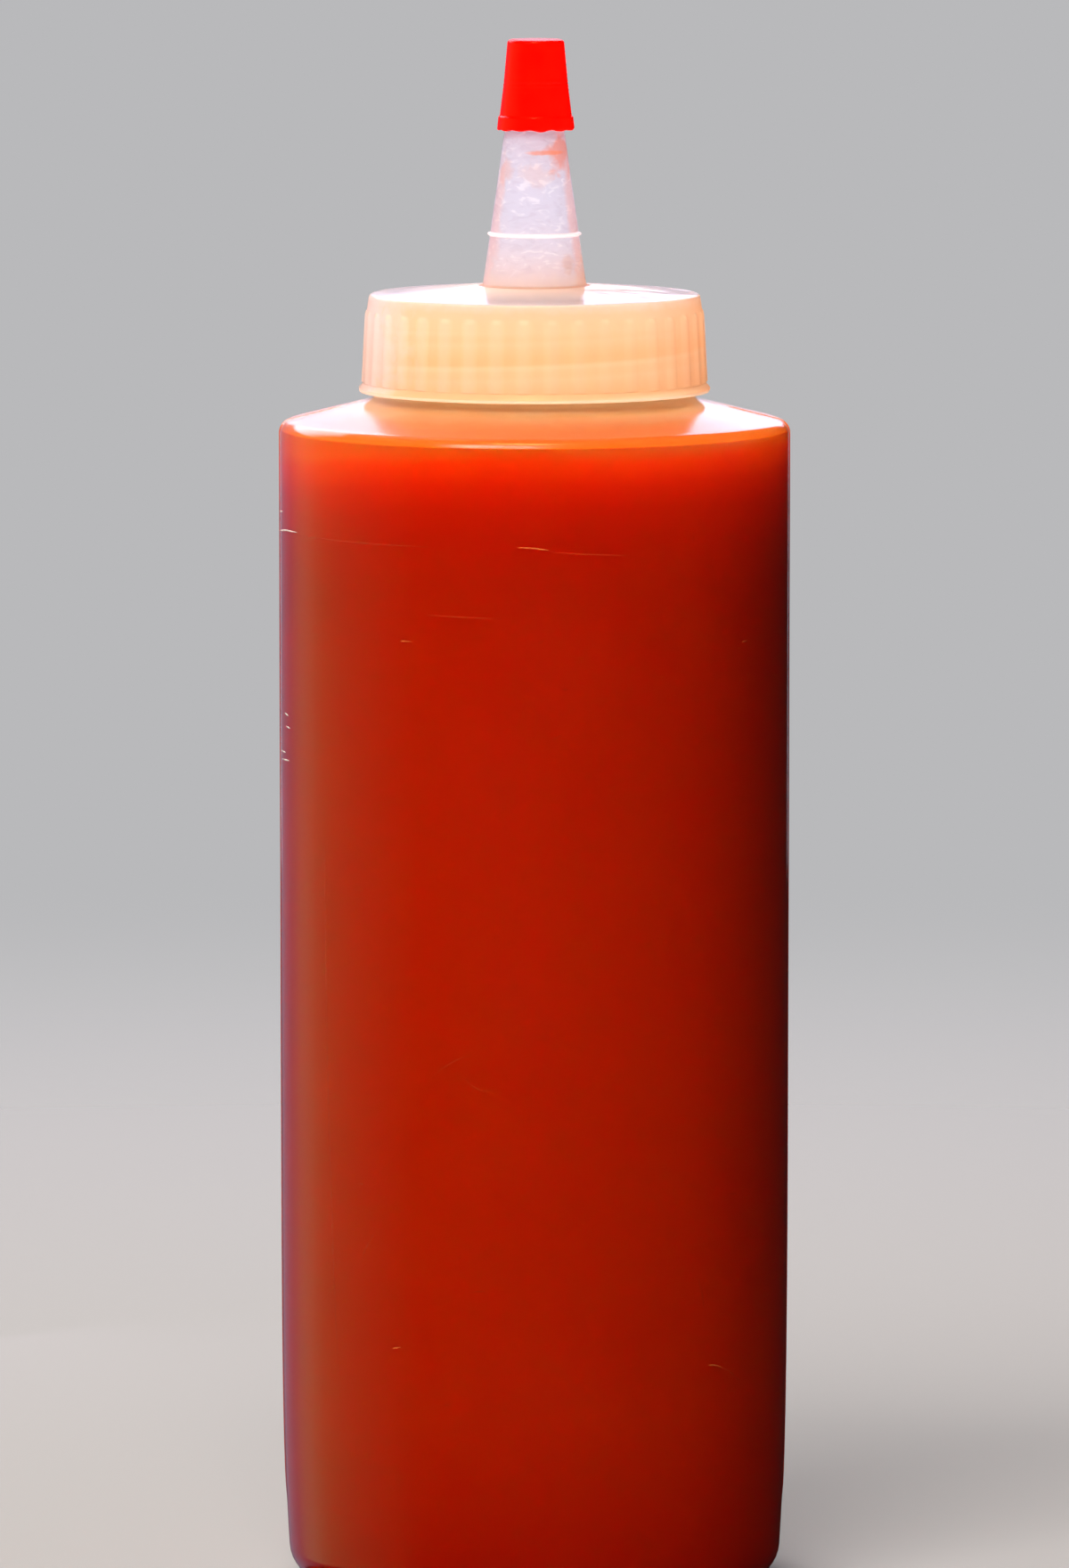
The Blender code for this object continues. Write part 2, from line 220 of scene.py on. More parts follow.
# The blown bottle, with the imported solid's sizes. Only its neck's fillet is wider, to close the gap under
# the cap's lip
bottle = {
    "bodyRadius": 29.7, "bodyDraft": 0.22, "baseTuck": 1.1, "baseTuckFade": 11.0,
    "wall": 0.85, "floor": 1.0, "footCorner": 4.0, "footRing": 2.4,
    "pushUpRise": 1.9, "pushUpSlope": 3.4, "pushUpCrown": 0.7,
    "shoulderHeight": 135.6, "shoulderSlope": 14.1, "shoulderCorner": 1.6,
    "neckRadius": 18.35, "neckTop": 140.2, "neckFillet": 1.6,
    "rootRadius": 17.4, "rootStart": 140.7, "mouthRadius": 16.2, "mouthEdge": 0.2,
    "mouthHeight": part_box("bottle")[1].z / mm,
    "threadPitch": 4.23, "threadTurns": 1.25, "threadStart": 142.2, "threadAzimuth": 90,
    "threadCrest": 18.45, "threadBase": 1.9, "threadTip": 0.9, "threadFade": 0.03,
    "seamHeight": 0.12, "seamWidth": 0.2, "seamLow": 8.0, "seamHighRadius": 21.5,
    "pinchHeight": 0.25, "pinchWidth": 0.4, "pinchLength": 17.0,
    "waviness": 0.03, "columns": 236,
    "glossLow": 0.1, "glossHigh": 0.18, "rubLeft": 0.09, "rubRight": 0.04,
    "tints": {0.3: "#fbf6f1", 0.7: "#fffdfb"},
}


def bodyRadius(z):
    # outer radius: less draft and a tuck that fades upwards as exp(-z / fade)
    draft = bottle["bodyDraft"] * (1 - z / bottle["shoulderHeight"])
    return bottle["bodyRadius"] - draft - bottle["baseTuck"] * np.exp(-z / bottle["baseTuckFade"])


def shoulderHeight(r):
    # the shoulder is a cone: its height grows by tan(slope) for each unit towards the axis
    rise = math.tan(math.radians(bottle["shoulderSlope"]))
    return bottle["shoulderHeight"] + rise * (bottle["bodyRadius"] - r)


def shoulderArc(inset, steps=9):
    # round stretch from the cone to the body's side, inset from the outer face
    corner = bottle["shoulderCorner"]
    centreR = bottle["bodyRadius"] - corner
    centreZ = shoulderHeight(centreR) - corner / math.cos(math.radians(bottle["shoulderSlope"]))
    return arcPath(centreR, centreZ, corner - inset, 90 - bottle["shoulderSlope"], 0, steps)


def neckArc(radius, inset, steps=6):
    # round stretch from an upright face at this radius to the cone, lowered by the inset
    fillet, slope = bottle["neckFillet"], bottle["shoulderSlope"]
    centreZ = shoulderHeight(radius + fillet) + (fillet - inset) / math.cos(math.radians(slope))
    return arcPath(radius + fillet, centreZ, fillet, 180, 270 - slope, steps)


def sidePath(inset, low, high, spacing):
    # down the body's side from the high to the low height
    z = np.linspace(high, low, int((high - low) / spacing) + 2)
    return np.column_stack((bodyRadius(z) - inset, z))


def footPath(inset, floor, spacing=1.4):
    # foot's corner arc, flat ring, an eased rise over the slope's width, then a dome to the axis
    corner, fade = bottle["footCorner"], bottle["baseTuckFade"]
    lean = math.degrees(math.atan(bottle["baseTuck"] / fade * math.exp(-corner / fade)))
    sideZ = corner * (1 - math.sin(math.radians(lean)))
    centreR = bodyRadius(sideZ) - corner * math.cos(math.radians(lean))
    edge = arcPath(centreR, corner, corner - inset, -lean, -90, 10)
    edge[:, 1] = np.maximum(edge[:, 1], floor)
    ring = centreR - bottle["footRing"]
    share = np.linspace(0, 1, 9)
    lift = floor + bottle["pushUpRise"] * smoothStep(share)
    rise = np.column_stack((ring - bottle["pushUpSlope"] * share, lift))
    domeR = np.linspace(rise[-1, 0], 0, int(rise[-1, 0] / spacing) + 2)
    domeZ = rise[-1, 1] + bottle["pushUpCrown"] * (1 - (domeR / rise[-1, 0]) ** 2)
    return joinedPath(edge, rise, np.column_stack((domeR, domeZ)))


def threadShare(angle, height, pitchShift, turns, base, tip):
    # 1 on the crest of a right-handed helix, falling along its flanks to 0; both ends fade out
    startTurn = (angle - math.radians(bottle["threadAzimuth"])) / (2 * np.pi) % 1
    share = 0 * angle * height
    for lap in range(math.ceil(turns)):
        turn = startTurn + lap
        middle = bottle["threadStart"] + pitchShift + bottle["threadPitch"] * turn
        flank = np.clip((base / 2 - np.abs(height - middle)) / ((base - tip) / 2), 0, 1)
        ends = smoothStep(turn / bottle["threadFade"]) * smoothStep((turns - turn) / bottle["threadFade"])
        share = np.maximum(share, smoothStep(flank) * ends)
    return share


def makeBottle(material):
    # the outline, inside then outside, turned round the axis and moved along its normal: outwards by the
    # thread and by lines exp(-(y / width)^2) for parting and pinch, and inwards by the side's ripples
    size = bottle
    neck, throat = neckArc(size["neckRadius"], 0), neckArc(size["mouthRadius"], size["wall"])
    sideTop = shoulderArc(0)[-1, 1]
    sideLow = size["footCorner"]
    inside = joinedPath(
        footPath(size["wall"], size["floor"])[::-1],
        sidePath(size["wall"], sideLow, sideTop, 2.2)[::-1],
        shoulderArc(size["wall"])[::-1],
        spacedPath(throat[::-1], 0.9),
    )
    edge = size["mouthEdge"]
    mouth = roundedPath([
        (size["mouthRadius"], throat[0, 1], 0),
        (size["mouthRadius"], size["mouthHeight"], edge),
        (size["rootRadius"], size["mouthHeight"], edge),
        (size["rootRadius"], size["rootStart"], 0.15),
        (size["neckRadius"], size["neckTop"], 0.15),
        (size["neckRadius"], neck[0, 1], 0),
    ])
    outside = joinedPath(
        spacedPath(mouth, 0.28),
        neck,
        spacedPath(np.array((neck[-1], shoulderArc(0)[0])), 0.8),
        shoulderArc(0, 12),
        sidePath(0, sideLow, sideTop, 1.7),
        footPath(0, 0),
    )
    outline = joinedPath(inside, outside)
    outer = (np.arange(len(outline)) >= len(inside))[:, None]
    seamAngles = np.array((0.1, 0.2, 0.32, 0.5)) / size["bodyRadius"]
    azimuths = np.unique(np.concatenate([
        evenAzimuths(size["columns"]), seamAngles, -seamAngles % (2 * np.pi),
        np.pi + seamAngles, np.pi - seamAngles,
    ]))
    angle, radius, height = azimuths[None, :], outline[:, :1], outline[:, 1:]
    x, y = radius * np.cos(angle), radius * np.sin(angle)
    onNeck = outer & (height > size["rootStart"]) & (radius > size["rootRadius"] - 0.05)
    relief = onNeck * (size["threadCrest"] - size["rootRadius"]) * threadShare(
        angle, height, 0, size["threadTurns"], size["threadBase"], size["threadTip"])
    along = smoothStep((height - size["seamLow"]) / 4) * smoothStep((radius - size["seamHighRadius"]) / 1.5)
    relief = relief + outer * size["seamHeight"] * np.exp(-(y / size["seamWidth"]) ** 2) * along
    onSide = outer & (height < size["shoulderHeight"]) & (radius > size["bodyRadius"] - 3)
    hollows = 0.5 + 0.5 * ripple(angle, height, wavesRound=4, waveHeight=45, seed=3)
    relief = relief - onSide * size["waviness"] * hollows * smoothStep((height - 4) / 6)
    underneath = outer & (height < 6) & (radius < size["bodyRadius"] - 9)
    pinch = np.exp(-(y / size["pinchWidth"]) ** 2) * smoothStep((size["pinchLength"] - np.abs(x)) / 3)
    relief = relief + underneath * size["pinchHeight"] * pinch
    points = turned(outline, pathNormals(outline), azimuths, relief)
    return makePiece("bottleShell", [(points, False)], material, "bottle")


def bottlePlastic():
    # blow-moulded natural low-density polyethylene: clear with a waxy, slightly wavy gloss and fine rubbing.
    # The shoulder is duller, most of all its rubbed left half. Roughness stays below 0.27, because the
    # denoiser would draw an outline where it crosses that
    material, tree, place = newMaterial("natural polyethylene, blown")
    across, _, height = addNode(tree, "SeparateXYZ", {"Vector": place}).outputs
    edge = bottle["shoulderHeight"]
    smudges = addNode(tree, "TexNoise", {"Scale": 1000 / 16, "Detail": 3.0, "Vector": place})
    gloss = addNode(tree, "MapRange", {
        "From Min": 0.3, "From Max": 0.7, "To Min": bottle["glossLow"], "To Max": bottle["glossHigh"],
        "Value": smudges})
    rubbed = addNode(tree, "MapRange", {
        "From Min": -5 * mm, "From Max": 5 * mm, "To Min": bottle["rubLeft"], "To Max": bottle["rubRight"],
        "Value": across})
    softer = addNode(tree, "MapRange", {
        "From Min": (edge + 0.1) * mm, "From Max": (edge + 0.5) * mm, "To Max": rubbed, "Value": height})
    gloss = addNode(tree, "Math", {"operation": "ADD", 0: gloss, 1: softer})
    stretched = addNode(tree, "Mapping", {"Scale": (1, 1, 0.06), "Vector": place})
    draw = addNode(tree, "TexNoise", {"Scale": 1000 / 2.2, "Detail": 2.0, "Vector": stretched})
    peel = addNode(tree, "TexNoise", {"Scale": 1000 / 6, "Detail": 2.0, "Vector": place})
    onSide = addNode(tree, "MapRange", {
        "From Min": edge * mm, "From Max": (edge - 1) * mm, "To Max": 0.35, "Value": height})
    bump = addNode(tree, "Bump", {"Strength": onSide, "Distance": 0.04 * mm, "Height": draw})
    bump = addNode(tree, "Bump", {"Strength": onSide, "Distance": 0.12 * mm, "Height": peel, "Normal": bump})
    tint = addNode(tree, "ValToRGB", {"stops": bottle["tints"], "Fac": smudges})
    shader = addNode(tree, "BsdfPrincipled", {
        "IOR": 1.5, "Transmission Weight": 1.0, "Base Color": tint, "Roughness": gloss, "Normal": bump})
    addNode(tree, "OutputMaterial", {"Surface": shader})
    return material


# Scuffs on the bottle's side, as lines of (turn from the right-hand side, height), in degrees and millimetres
scuffs = {
    "rise": 0.03, "sink": 0.06, "spacing": 0.7,
    # scuffs along the left edge, painted pale as glints: real scuffs carrying a painted highlight
    "whiteGlint": {"tint": "#fff0ea", "cover": 0.7, "halfWidth": 0.1, "lines": [
        [(-179.5, 122.9), (-166.5, 123.5), (-158.2, 123.6)],
        [(-179.1, 125.2), (-170.9, 125.5)], [(-168.8, 102.1), (-165.0, 101.9)],
        [(-167.8, 100.6), (-163.5, 100.5)], [(-175.6, 97.4), (-167.8, 97.5)],
        [(-173.2, 96.5), (-164.3, 96.7)],
    ]},
    "orange": {"tint": "#ff8c42", "cover": 0.48, "halfWidth": 0.085, "lines": [
        [(-94.0, 123.4), (-90.0, 123.3), (-86.6, 123.05)],
        [(-121.6, 112.2), (-120.0, 112.25), (-118.4, 112.2)],
        [(-35.8, 111.4), (-33.6, 111.5)],
        [(-124.1, 29.9), (-122.7, 30.1), (-121.5, 30.2)],
        [(-46.9, 27.6), (-44.6, 27.5), (-42.2, 27.1)],
    ]},
    "faint": {"tint": "#ff7a40", "cover": 0.07, "halfWidth": 0.08, "lines": [
        [(-158.2, 123.35), (-144.9, 123.34), (-134.3, 123.27), (-123.5, 123.26), (-113.7, 123.26)],
        [(-86.6, 122.85), (-80.0, 122.61), (-68.3, 122.31)],
        [(-115.4, 115.4), (-106.1, 115.25), (-96.8, 115.13)],
        [(-89.0, 112.26), (-87.8, 112.78)], [(-51.9, 124.58), (-51.9, 123.35)],
        [(-40.7, 123.68), (-38.8, 123.78)], [(-48.5, 120.57), (-46.3, 120.51)],
        [(-84.0, 107.0), (-82.4, 107.0)],
        [(-86.0, 101.15), (-85.0, 101.45), (-83.8, 101.75)],
        [(-82.6, 95.36), (-81.4, 95.56)], [(-175.3, 103.6), (-168.8, 103.9)],
        [(-145.4, 92.05), (-145.1, 80.34), (-144.7, 68.93), (-143.8, 55.46), (-142.5, 40.95),
         (-140.6, 24.58)],
        [(-113.8, 61.66), (-111.0, 63.01), (-107.8, 63.96), (-103.9, 64.69)],
        [(-106.0, 62.03), (-104.3, 61.12), (-102.0, 60.43), (-98.6, 60.57)],
        [(-39.8, 47.3), (-37.4, 47.15)], [(-133.6, 48.86), (-132.0, 48.72)],
        [(-133.4, 39.2), (-131.7, 41.14), (-128.8, 43.34)],
        [(-108.0, 40.66), (-106.8, 41.1)],
        [(-104.7, 36.99), (-102.8, 37.13), (-101.0, 37.2)],
        [(-131.5, 34.19), (-129.6, 34.06)],
        [(-50.1, 38.0), (-48.8, 36.07), (-48.2, 34.28)],
        [(-42.2, 27.12), (-38.8, 26.32), (-35.4, 25.09)],
        [(-107.6, 24.91), (-106.2, 25.14)], [(-111.0, 23.58), (-109.3, 23.93)],
        [(-159.0, 22.54), (-154.3, 22.21), (-151.1, 21.36)],
    ]},
}


def scuffSurface(line, halfWidth):
    # a flat ring of eight points swept along the line over the bottle's side, its size falling to nothing
    # at both ends as sqrt(1 - s^2)
    turns, heights = np.array(line, dtype=float).T
    around = np.radians(turns) * bottle["bodyRadius"]
    run = np.concatenate(([0], np.cumsum(np.hypot(np.diff(around), np.diff(heights)))))
    marks = np.linspace(0, run[-1], int(run[-1] / scuffs["spacing"]) + 6)
    path = np.column_stack((np.interp(marks, run, around), np.interp(marks, run, heights)))
    across = pathNormals(path)
    size = np.sqrt(np.clip(1 - (2 * marks / run[-1] - 1) ** 2, 0, 1))[:, None]
    ring = evenAzimuths(8)[None, :]
    sideways = halfWidth * size * np.cos(ring)
    lift = size * np.where(np.sin(ring) > 0, scuffs["rise"], scuffs["sink"]) * np.sin(ring)
    angle = (path[:, :1] + across[:, :1] * sideways) / bottle["bodyRadius"]
    height = path[:, 1:] + across[:, 1:] * sideways
    radius = bodyRadius(height) - bottle["waviness"] / 2 + lift
    return np.stack((radius * np.cos(angle), radius * np.sin(angle), height), axis=-1)


def makeScuffs(kind):
    # one strip for each line of this kind
    sort = scuffs[kind]
    surfaces = [(scuffSurface(line, sort["halfWidth"]), False) for line in sort["lines"]]
    material = scuffedPlastic(kind, sort["tint"], sort["cover"])
    return makePiece(kind + "Scuffs", surfaces, material)


def scuffedPlastic(kind, tint, cover):
    # polyethylene rubbed rough: a pale haze, broken up by a fine noise, that lets the bottle show through. On
    # the kind at the left edge the pale haze is also a painted highlight, standing in for the glints of those
    # scuffs
    material, tree, place = newMaterial("polyethylene, rubbed " + kind)
    breaks = addNode(tree, "TexNoise", {"Scale": 1000 / 1.1, "Detail": 2.0, "Vector": place})
    share = addNode(tree, "MapRange", {
        "From Min": 0.35, "From Max": 0.6, "To Min": 0.3 * cover, "To Max": cover, "Value": breaks})
    shader = addNode(tree, "BsdfPrincipled", {
        "IOR": 1.5, "Roughness": 0.8, "Specular IOR Level": 0.0, "Base Color": linearColor(tint)})
    clear = addNode(tree, "BsdfTransparent")
    mixed = addNode(tree, "MixShader", {0: share, 1: clear, 2: shader})
    addNode(tree, "OutputMaterial", {"Surface": mixed})
    return material


# The sauce up to its level; its side reaches just into the bottle's wall, so that no air gap shows
sauce = {
    "level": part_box("sauce")[1].z / mm,
    "reach": 0.35, "meniscus": 0.9, "meniscusWidth": 1.0, "topRipple": 0.12,
    "filmTop": 147.6, "filmLow": 133.5, "filmReach": 0.25, "filmThickness": 0.14, "filmUneven": 0.06,
    # bodyColors: deep red, with a painted glow that turns orange towards the level, where light enters under
    # the shoulder
    "bodyColors": {
        0: "#b81700", 22: "#c42600", 60: "#c82700", 112: "#c92300", 118: "#c52100",
        124: "#ca1e00", 127.5: "#d21f00", 130.6: "#e32500", 133.2: "#f94000", 134.4: "#fb5a0c"},
    # painted light: the glow sits lower on the left, by up to bodyDrop between dropStart and dropEnd across
    "bodyDrop": 2, "dropStart": -12, "dropEnd": -28,
    # filmColors: orange to peach, painted paler from 137.4 mm up to lift the shade under the cap's lip, with
    # a painted highlight line at 135.2 mm on the shoulder's corner
    "filmColors": {
        133.5: "#ff6408", 134.7: "#ff7c1e", 135.2: "#fc8430", 135.8: "#fa7c26", 136.5: "#fc8e3c",
        137.4: "#ffc484", 138.2: "#ffe0b8", 140: "#ffecd0", 148: "#ffe8d0"},
}


def makeSauce(material):
    # a rippled level whose rim rises as exp((r - side) / width), then the side and foot, turned round
    inset = bottle["wall"] - sauce["reach"]
    sideR = bodyRadius(sauce["level"]) - inset
    topR = np.linspace(0, sideR, 34)
    topZ = sauce["level"] + sauce["meniscus"] * np.exp((topR - sideR) / sauce["meniscusWidth"])
    outline = joinedPath(
        np.column_stack((topR, topZ)),
        sidePath(inset, bottle["footCorner"], topZ[-1] - 0.05, 2.2),
        footPath(inset, bottle["floor"] - sauce["reach"]),
    )
    azimuths = evenAzimuths(200)
    onTop = (outline[:, 1:] > sauce["level"] - 0.01) & (outline[:, :1] < sideR - 0.5)
    fade = smoothStep(outline[:, :1] / 4) * smoothStep((sideR - outline[:, :1]) / 2)
    waves = ripple(azimuths[None, :], outline[:, :1], wavesRound=5, waveHeight=9, seed=11)
    points = turned(outline, pathNormals(outline), azimuths, onTop * fade * sauce["topRipple"] * waves)
    return makePiece("sauceFill", [(points, False)], material, "sauce")


def makeFilm(material):
    # sauce that clings to the wall above the level: one face sunk in the wall, the other uneven
    wall = bottle["wall"]
    path = joinedPath(
        [(bottle["mouthRadius"], sauce["filmTop"])],
        neckArc(bottle["mouthRadius"], wall, 8),
        shoulderArc(wall, 9),
        [(bodyRadius(sauce["filmLow"]) - wall, sauce["filmLow"])],
    )
    path = spacedPath(path, 0.5)
    normals = pathNormals(path)
    azimuths = evenAzimuths(220)
    uneven = ripple(azimuths[None, :], path[:, 1:], wavesRound=14, waveHeight=5, seed=5)
    inner = turned(path, -normals, azimuths, sauce["filmThickness"] + sauce["filmUneven"] * uneven)
    sunk = turned(path, normals, azimuths, sauce["filmReach"])
    points = np.concatenate((sunk, inner[::-1]))
    return makePiece("sauceFilm", [(points, True)], material)


def colorByHeight(tree, place, stops, patchSize, drift):
    # a ramp over the height, which a noise of this patch size moves up and down by the drift, in millimetres
    low, high = min(stops), max(stops)
    cloud = addNode(tree, "TexNoise", {"Scale": 1000 / patchSize, "Detail": 3.0, "Vector": place})
    height = addNode(tree, "SeparateXYZ", {"Vector": place}).outputs["Z"]
    moved = addNode(tree, "MapRange", {"To Min": -drift * mm, "To Max": drift * mm, "Value": cloud})
    uneven = addNode(tree, "Math", {"operation": "ADD", 0: height, 1: moved})
    share = addNode(tree, "MapRange", {"From Min": low * mm, "From Max": high * mm, "Value": uneven})
    return addNode(tree, "ValToRGB", {"stops": rampStops(stops, low, high), "Fac": share})


def sauceBody():
    # thick smoked barbecue sauce: a deep red-brown with painted light, a glow that turns orange where light
    # enters under the shoulder and reaches deeper down at the left, where the colours sit lower
    material, tree, place = newMaterial("barbecue sauce")
    across = addNode(tree, "SeparateXYZ", {"Vector": place}).outputs["X"]
    drop = addNode(tree, "MapRange", {
        "interpolation_type": "SMOOTHSTEP", "From Min": sauce["dropStart"] * mm,
        "From Max": sauce["dropEnd"] * mm, "To Max": sauce["bodyDrop"] * mm, "Value": across})
    drop = addNode(tree, "CombineXYZ", {"Z": drop})
    place = addNode(tree, "VectorMath", {"operation": "ADD", 0: place, 1: drop})
    color = colorByHeight(tree, place, sauce["bodyColors"], patchSize=20, drift=1.2)
    shader = addNode(tree, "BsdfPrincipled", {
        "Roughness": 0.5, "IOR": 1.4, "Specular IOR Level": 0.0, "Base Color": color,
        "Subsurface Weight": 1.0, "Subsurface Scale": 3 * mm, "Subsurface Radius": (1.0, 0.1, 0.02)})
    addNode(tree, "OutputMaterial", {"Surface": shader})
    return material


def sauceThin():
    # the same sauce as a thin film on the wall: orange low on the shoulder, peach towards the neck, where the
    # paler colour is also painted light that lifts the shade under the cap's lip; a slightly paler line at
    # the shoulder's corner is a painted highlight
    material, tree, place = newMaterial("barbecue sauce, thin film")
    color = colorByHeight(tree, place, sauce["filmColors"], patchSize=4, drift=0.4)
    shader = addNode(tree, "BsdfPrincipled", {
        "Roughness": 0.5, "IOR": 1.4, "Specular IOR Level": 0.0, "Base Color": color})
    glow = addNode(tree, "BsdfTranslucent", {"Color": color})
    mixed = addNode(tree, "MixShader", {0: 0.3, 1: shader, 2: glow})
    addNode(tree, "OutputMaterial", {"Surface": mixed})
    return material


# The screw cap with its spout, moulded in one. An oval is the turn of its middle from the right-hand side,
# the height of its middle, half its width as a turn, half its height, its raggedness, tint and strength; some
# are smeared sauce, others painted light: the spout's sides as seen edge-on, a sheen on the skirt's left and
# shade on its right. A patch is a tint, how much less light it lets through, and ranges (measure, start, end,
# low, high) whose product is its strength; the patches are painted highlights on the ribs, lip and bead, a
# painted reflection of the spout on the top and painted shade on the flat top. The measure ribs runs from -1
# between two ribs to 1 on one, across and radius are distances, and the others are heights above that size
# of the cap
cap = {
    "bottom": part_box("spout_cap")[0].z / mm, "top": 150.55, "bore": 18.8, "underside": 149.4,
    "rimRadius": 19.25, "rimCut": 0.45, "crown": 151.6, "skirtTop": 19.5, "skirtBottom": 19.95,
    "lipRadius": 20.5, "lipThickness": 0.7, "lipCut": 0.12, "lipSlope": 0.28,
    "ribCount": 38, "ribDepth": 0.22, "ribTop": 148.4, "ribEnd": 0.5, "ribFoot": 140.0, "columnsPerRib": 8,
    "threadDepth": 0.75, "threadBase": 1.5, "threadTip": 0.6, "threadTurns": 1.4,
    "spoutRadius": 6.03, "spoutTaper": 0.142, "spoutEnd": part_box("spout_cap")[1].z / mm,
    "spoutEdge": 0.2, "spoutFillet": 0.35, "spoutWall": 0.95,
    "beadHeight": 157.6, "beadProud": 0.28, "beadHalf": 0.24, "mottle": 0.07,
    "colors": {
        139: "#ffeed0", 144: "#ffeed0", 146.5: "#ffebce", 149.4: "#ffe6c8", 150.4: "#fff0e4",
        151.6: "#faf0ea", 153.5: "#ebe4e8", 157: "#dddde7", 175: "#dddee9"},
    "bandTint": "#ffdcae", "bandShare": 0.4, "bandLow": 146.5, "bandHigh": 147.8,
    "bandStops": {
        0.0: "#ffffff", 0.25: "#c0c0c0", 0.42: "#707070", 0.55: "#b0b0b0",
        0.66: "#a0a0a0", 0.74: "#101010", 0.79: "#101010", 0.88: "#ffffff"},
    "dropLow": 152.5, "dropHigh": 154.0,
    # dropLightAndShade: paler noise tops are painted highlights of the droplets, darker hollows their painted
    # shade
    "dropLightAndShade": ((0.58, 0.7, "#ffffff", 0.4), (0.46, 0.32, "#b9aebe", 0.15)),
    "smearsAndPaintedLight": (
        (-34, 167.2, 42, 3.0, 0.9, "#ef8a5e", 0.55),
        (-66, 167.2, 46, 0.32, 0.5, "#f79a68", 0.6),
        (-146, 165.0, 22, 1.6, 0.8, "#f0b498", 0.3),
        (-46, 154.4, 12, 1.4, 0.7, "#dcac8c", 0.3),
        (-90, 164.9, 30, 1.6, 1.2, "#fbc090", 0.14),
        # painted light: the spout's right and left sides pinkish-peach, as the walls look seen edge-on from
        # the front
        (-22, 160.0, 20, 9.0, 0.5, "#f2bcae", 0.4),
        (-158, 160.0, 20, 9.0, 0.5, "#f0c4bc", 0.4),
        # painted sheen on the skirt's left
        (-172, 145.0, 38, 12.0, 0.3, "#fff4f6", 0.85),
        # painted shade: the skirt's right a deeper peach
        (-8, 145.0, 42, 12.0, 0.3, "#ffdab4", 0.5),
    ),
    "patches": {
        # painted highlights: a pale stripe down each rib, strongest on the left
        "ribHighlights": ("#fff2ee", 0.05, (
            ("ribs", -0.5, 0.7, 0, 1), ("ribFoot", 0.1, 0.4, 0, 1), ("ribTop", 0.6, 0.3, 0, 1),
            ("across", 8, -18, 0.06, 0.3))),
        # painted highlights on the ribs' round tops
        "ribTops": ("#fff4dc", 0, (
            ("ribs", 0.4, 0.9, 0, 0.45), ("ribTop", -0.3, 0.1, 0, 1), ("ribTop", 0.5, 0.2, 0, 1))),
        # painted shade: the flat top greyer, and it lets less light through
        "flatTop": ("#b6a8a8", 0.45, (("top", -0.15, 0, 0, 1), ("radius", 6.4, 6.6, 0, 1))),
        # painted reflection of the spout, peach on the flat top round its foot
        "spoutReflection": ("#fbe6d4", 0, (
            ("top", -0.25, -0.15, 0, 1), ("crown", 0.2, 0.1, 0, 1), ("radius", 16, 7.5, 0, 1))),
        # painted highlight: a pale line along the lip
        "lipHighlight": ("#fff8ec", 0.15, (
            ("ribFoot", -1, -0.9, 0, 1), ("ribFoot", -0.4, -0.5, 0, 0.8), ("radius", 19, 19.2, 0, 1))),
        # painted highlight on the bead round the spout
        "bead": ("#fbeeee", 0.12, (("beadHeight", -0.3, -0.2, 0, 1), ("beadHeight", 0.3, 0.2, 0, 1))),
    },
    "waveLeft": 1.0, "waveRight": 9.0, "through": 0.8,
}


def spoutRadius(z):
    # outer radius: a straight cone
    return cap["spoutRadius"] - cap["spoutTaper"] * (z - cap["crown"])


def capOutline():
    # down the outside from the spout's end, round the lip, up the bore and the channel
    size = cap
    skirtHigh = size["ribTop"] + size["ribEnd"]
    beadLow, beadHigh = size["beadHeight"] - size["beadHalf"], size["beadHeight"] + size["beadHalf"]
    beadRadius = spoutRadius(size["beadHeight"]) + size["beadProud"]
    lipTop = size["bottom"] + size["lipThickness"]
    channel = size["spoutWall"]
    spout = [
        (spoutRadius(size["spoutEnd"]), size["spoutEnd"], size["spoutEdge"]),
        (spoutRadius(beadHigh), beadHigh, 0.06),
        (beadRadius, size["beadHeight"] + 0.1, 0.08),
        (beadRadius, size["beadHeight"] - 0.1, 0.08),
        (spoutRadius(beadLow), beadLow, 0.06),
        (size["spoutRadius"], size["crown"], size["spoutFillet"]),
    ]
    skirt = [
        (size["rimRadius"], size["top"], size["rimCut"]),
        (size["skirtTop"], skirtHigh, 0.3),
        (size["skirtBottom"], size["ribFoot"] + size["lipSlope"], 0.12),
        (size["lipRadius"], lipTop - size["lipSlope"], size["lipCut"]),
        (size["lipRadius"] - size["lipCut"], size["bottom"], size["lipCut"]),
    ]
    inside = [
        (size["bore"], size["bottom"], 0.2),
        (size["bore"], size["underside"], 0.3),
        (spoutRadius(size["underside"]) - channel, size["underside"], 0.2),
        (spoutRadius(size["spoutEnd"]) - channel, size["spoutEnd"], 0.15),
    ]
    path = roundedPath(spout + skirt + inside, 6)
    closed = np.vstack((path, path[:1]))
    return spacedPath(closed, 0.48)[:-1]


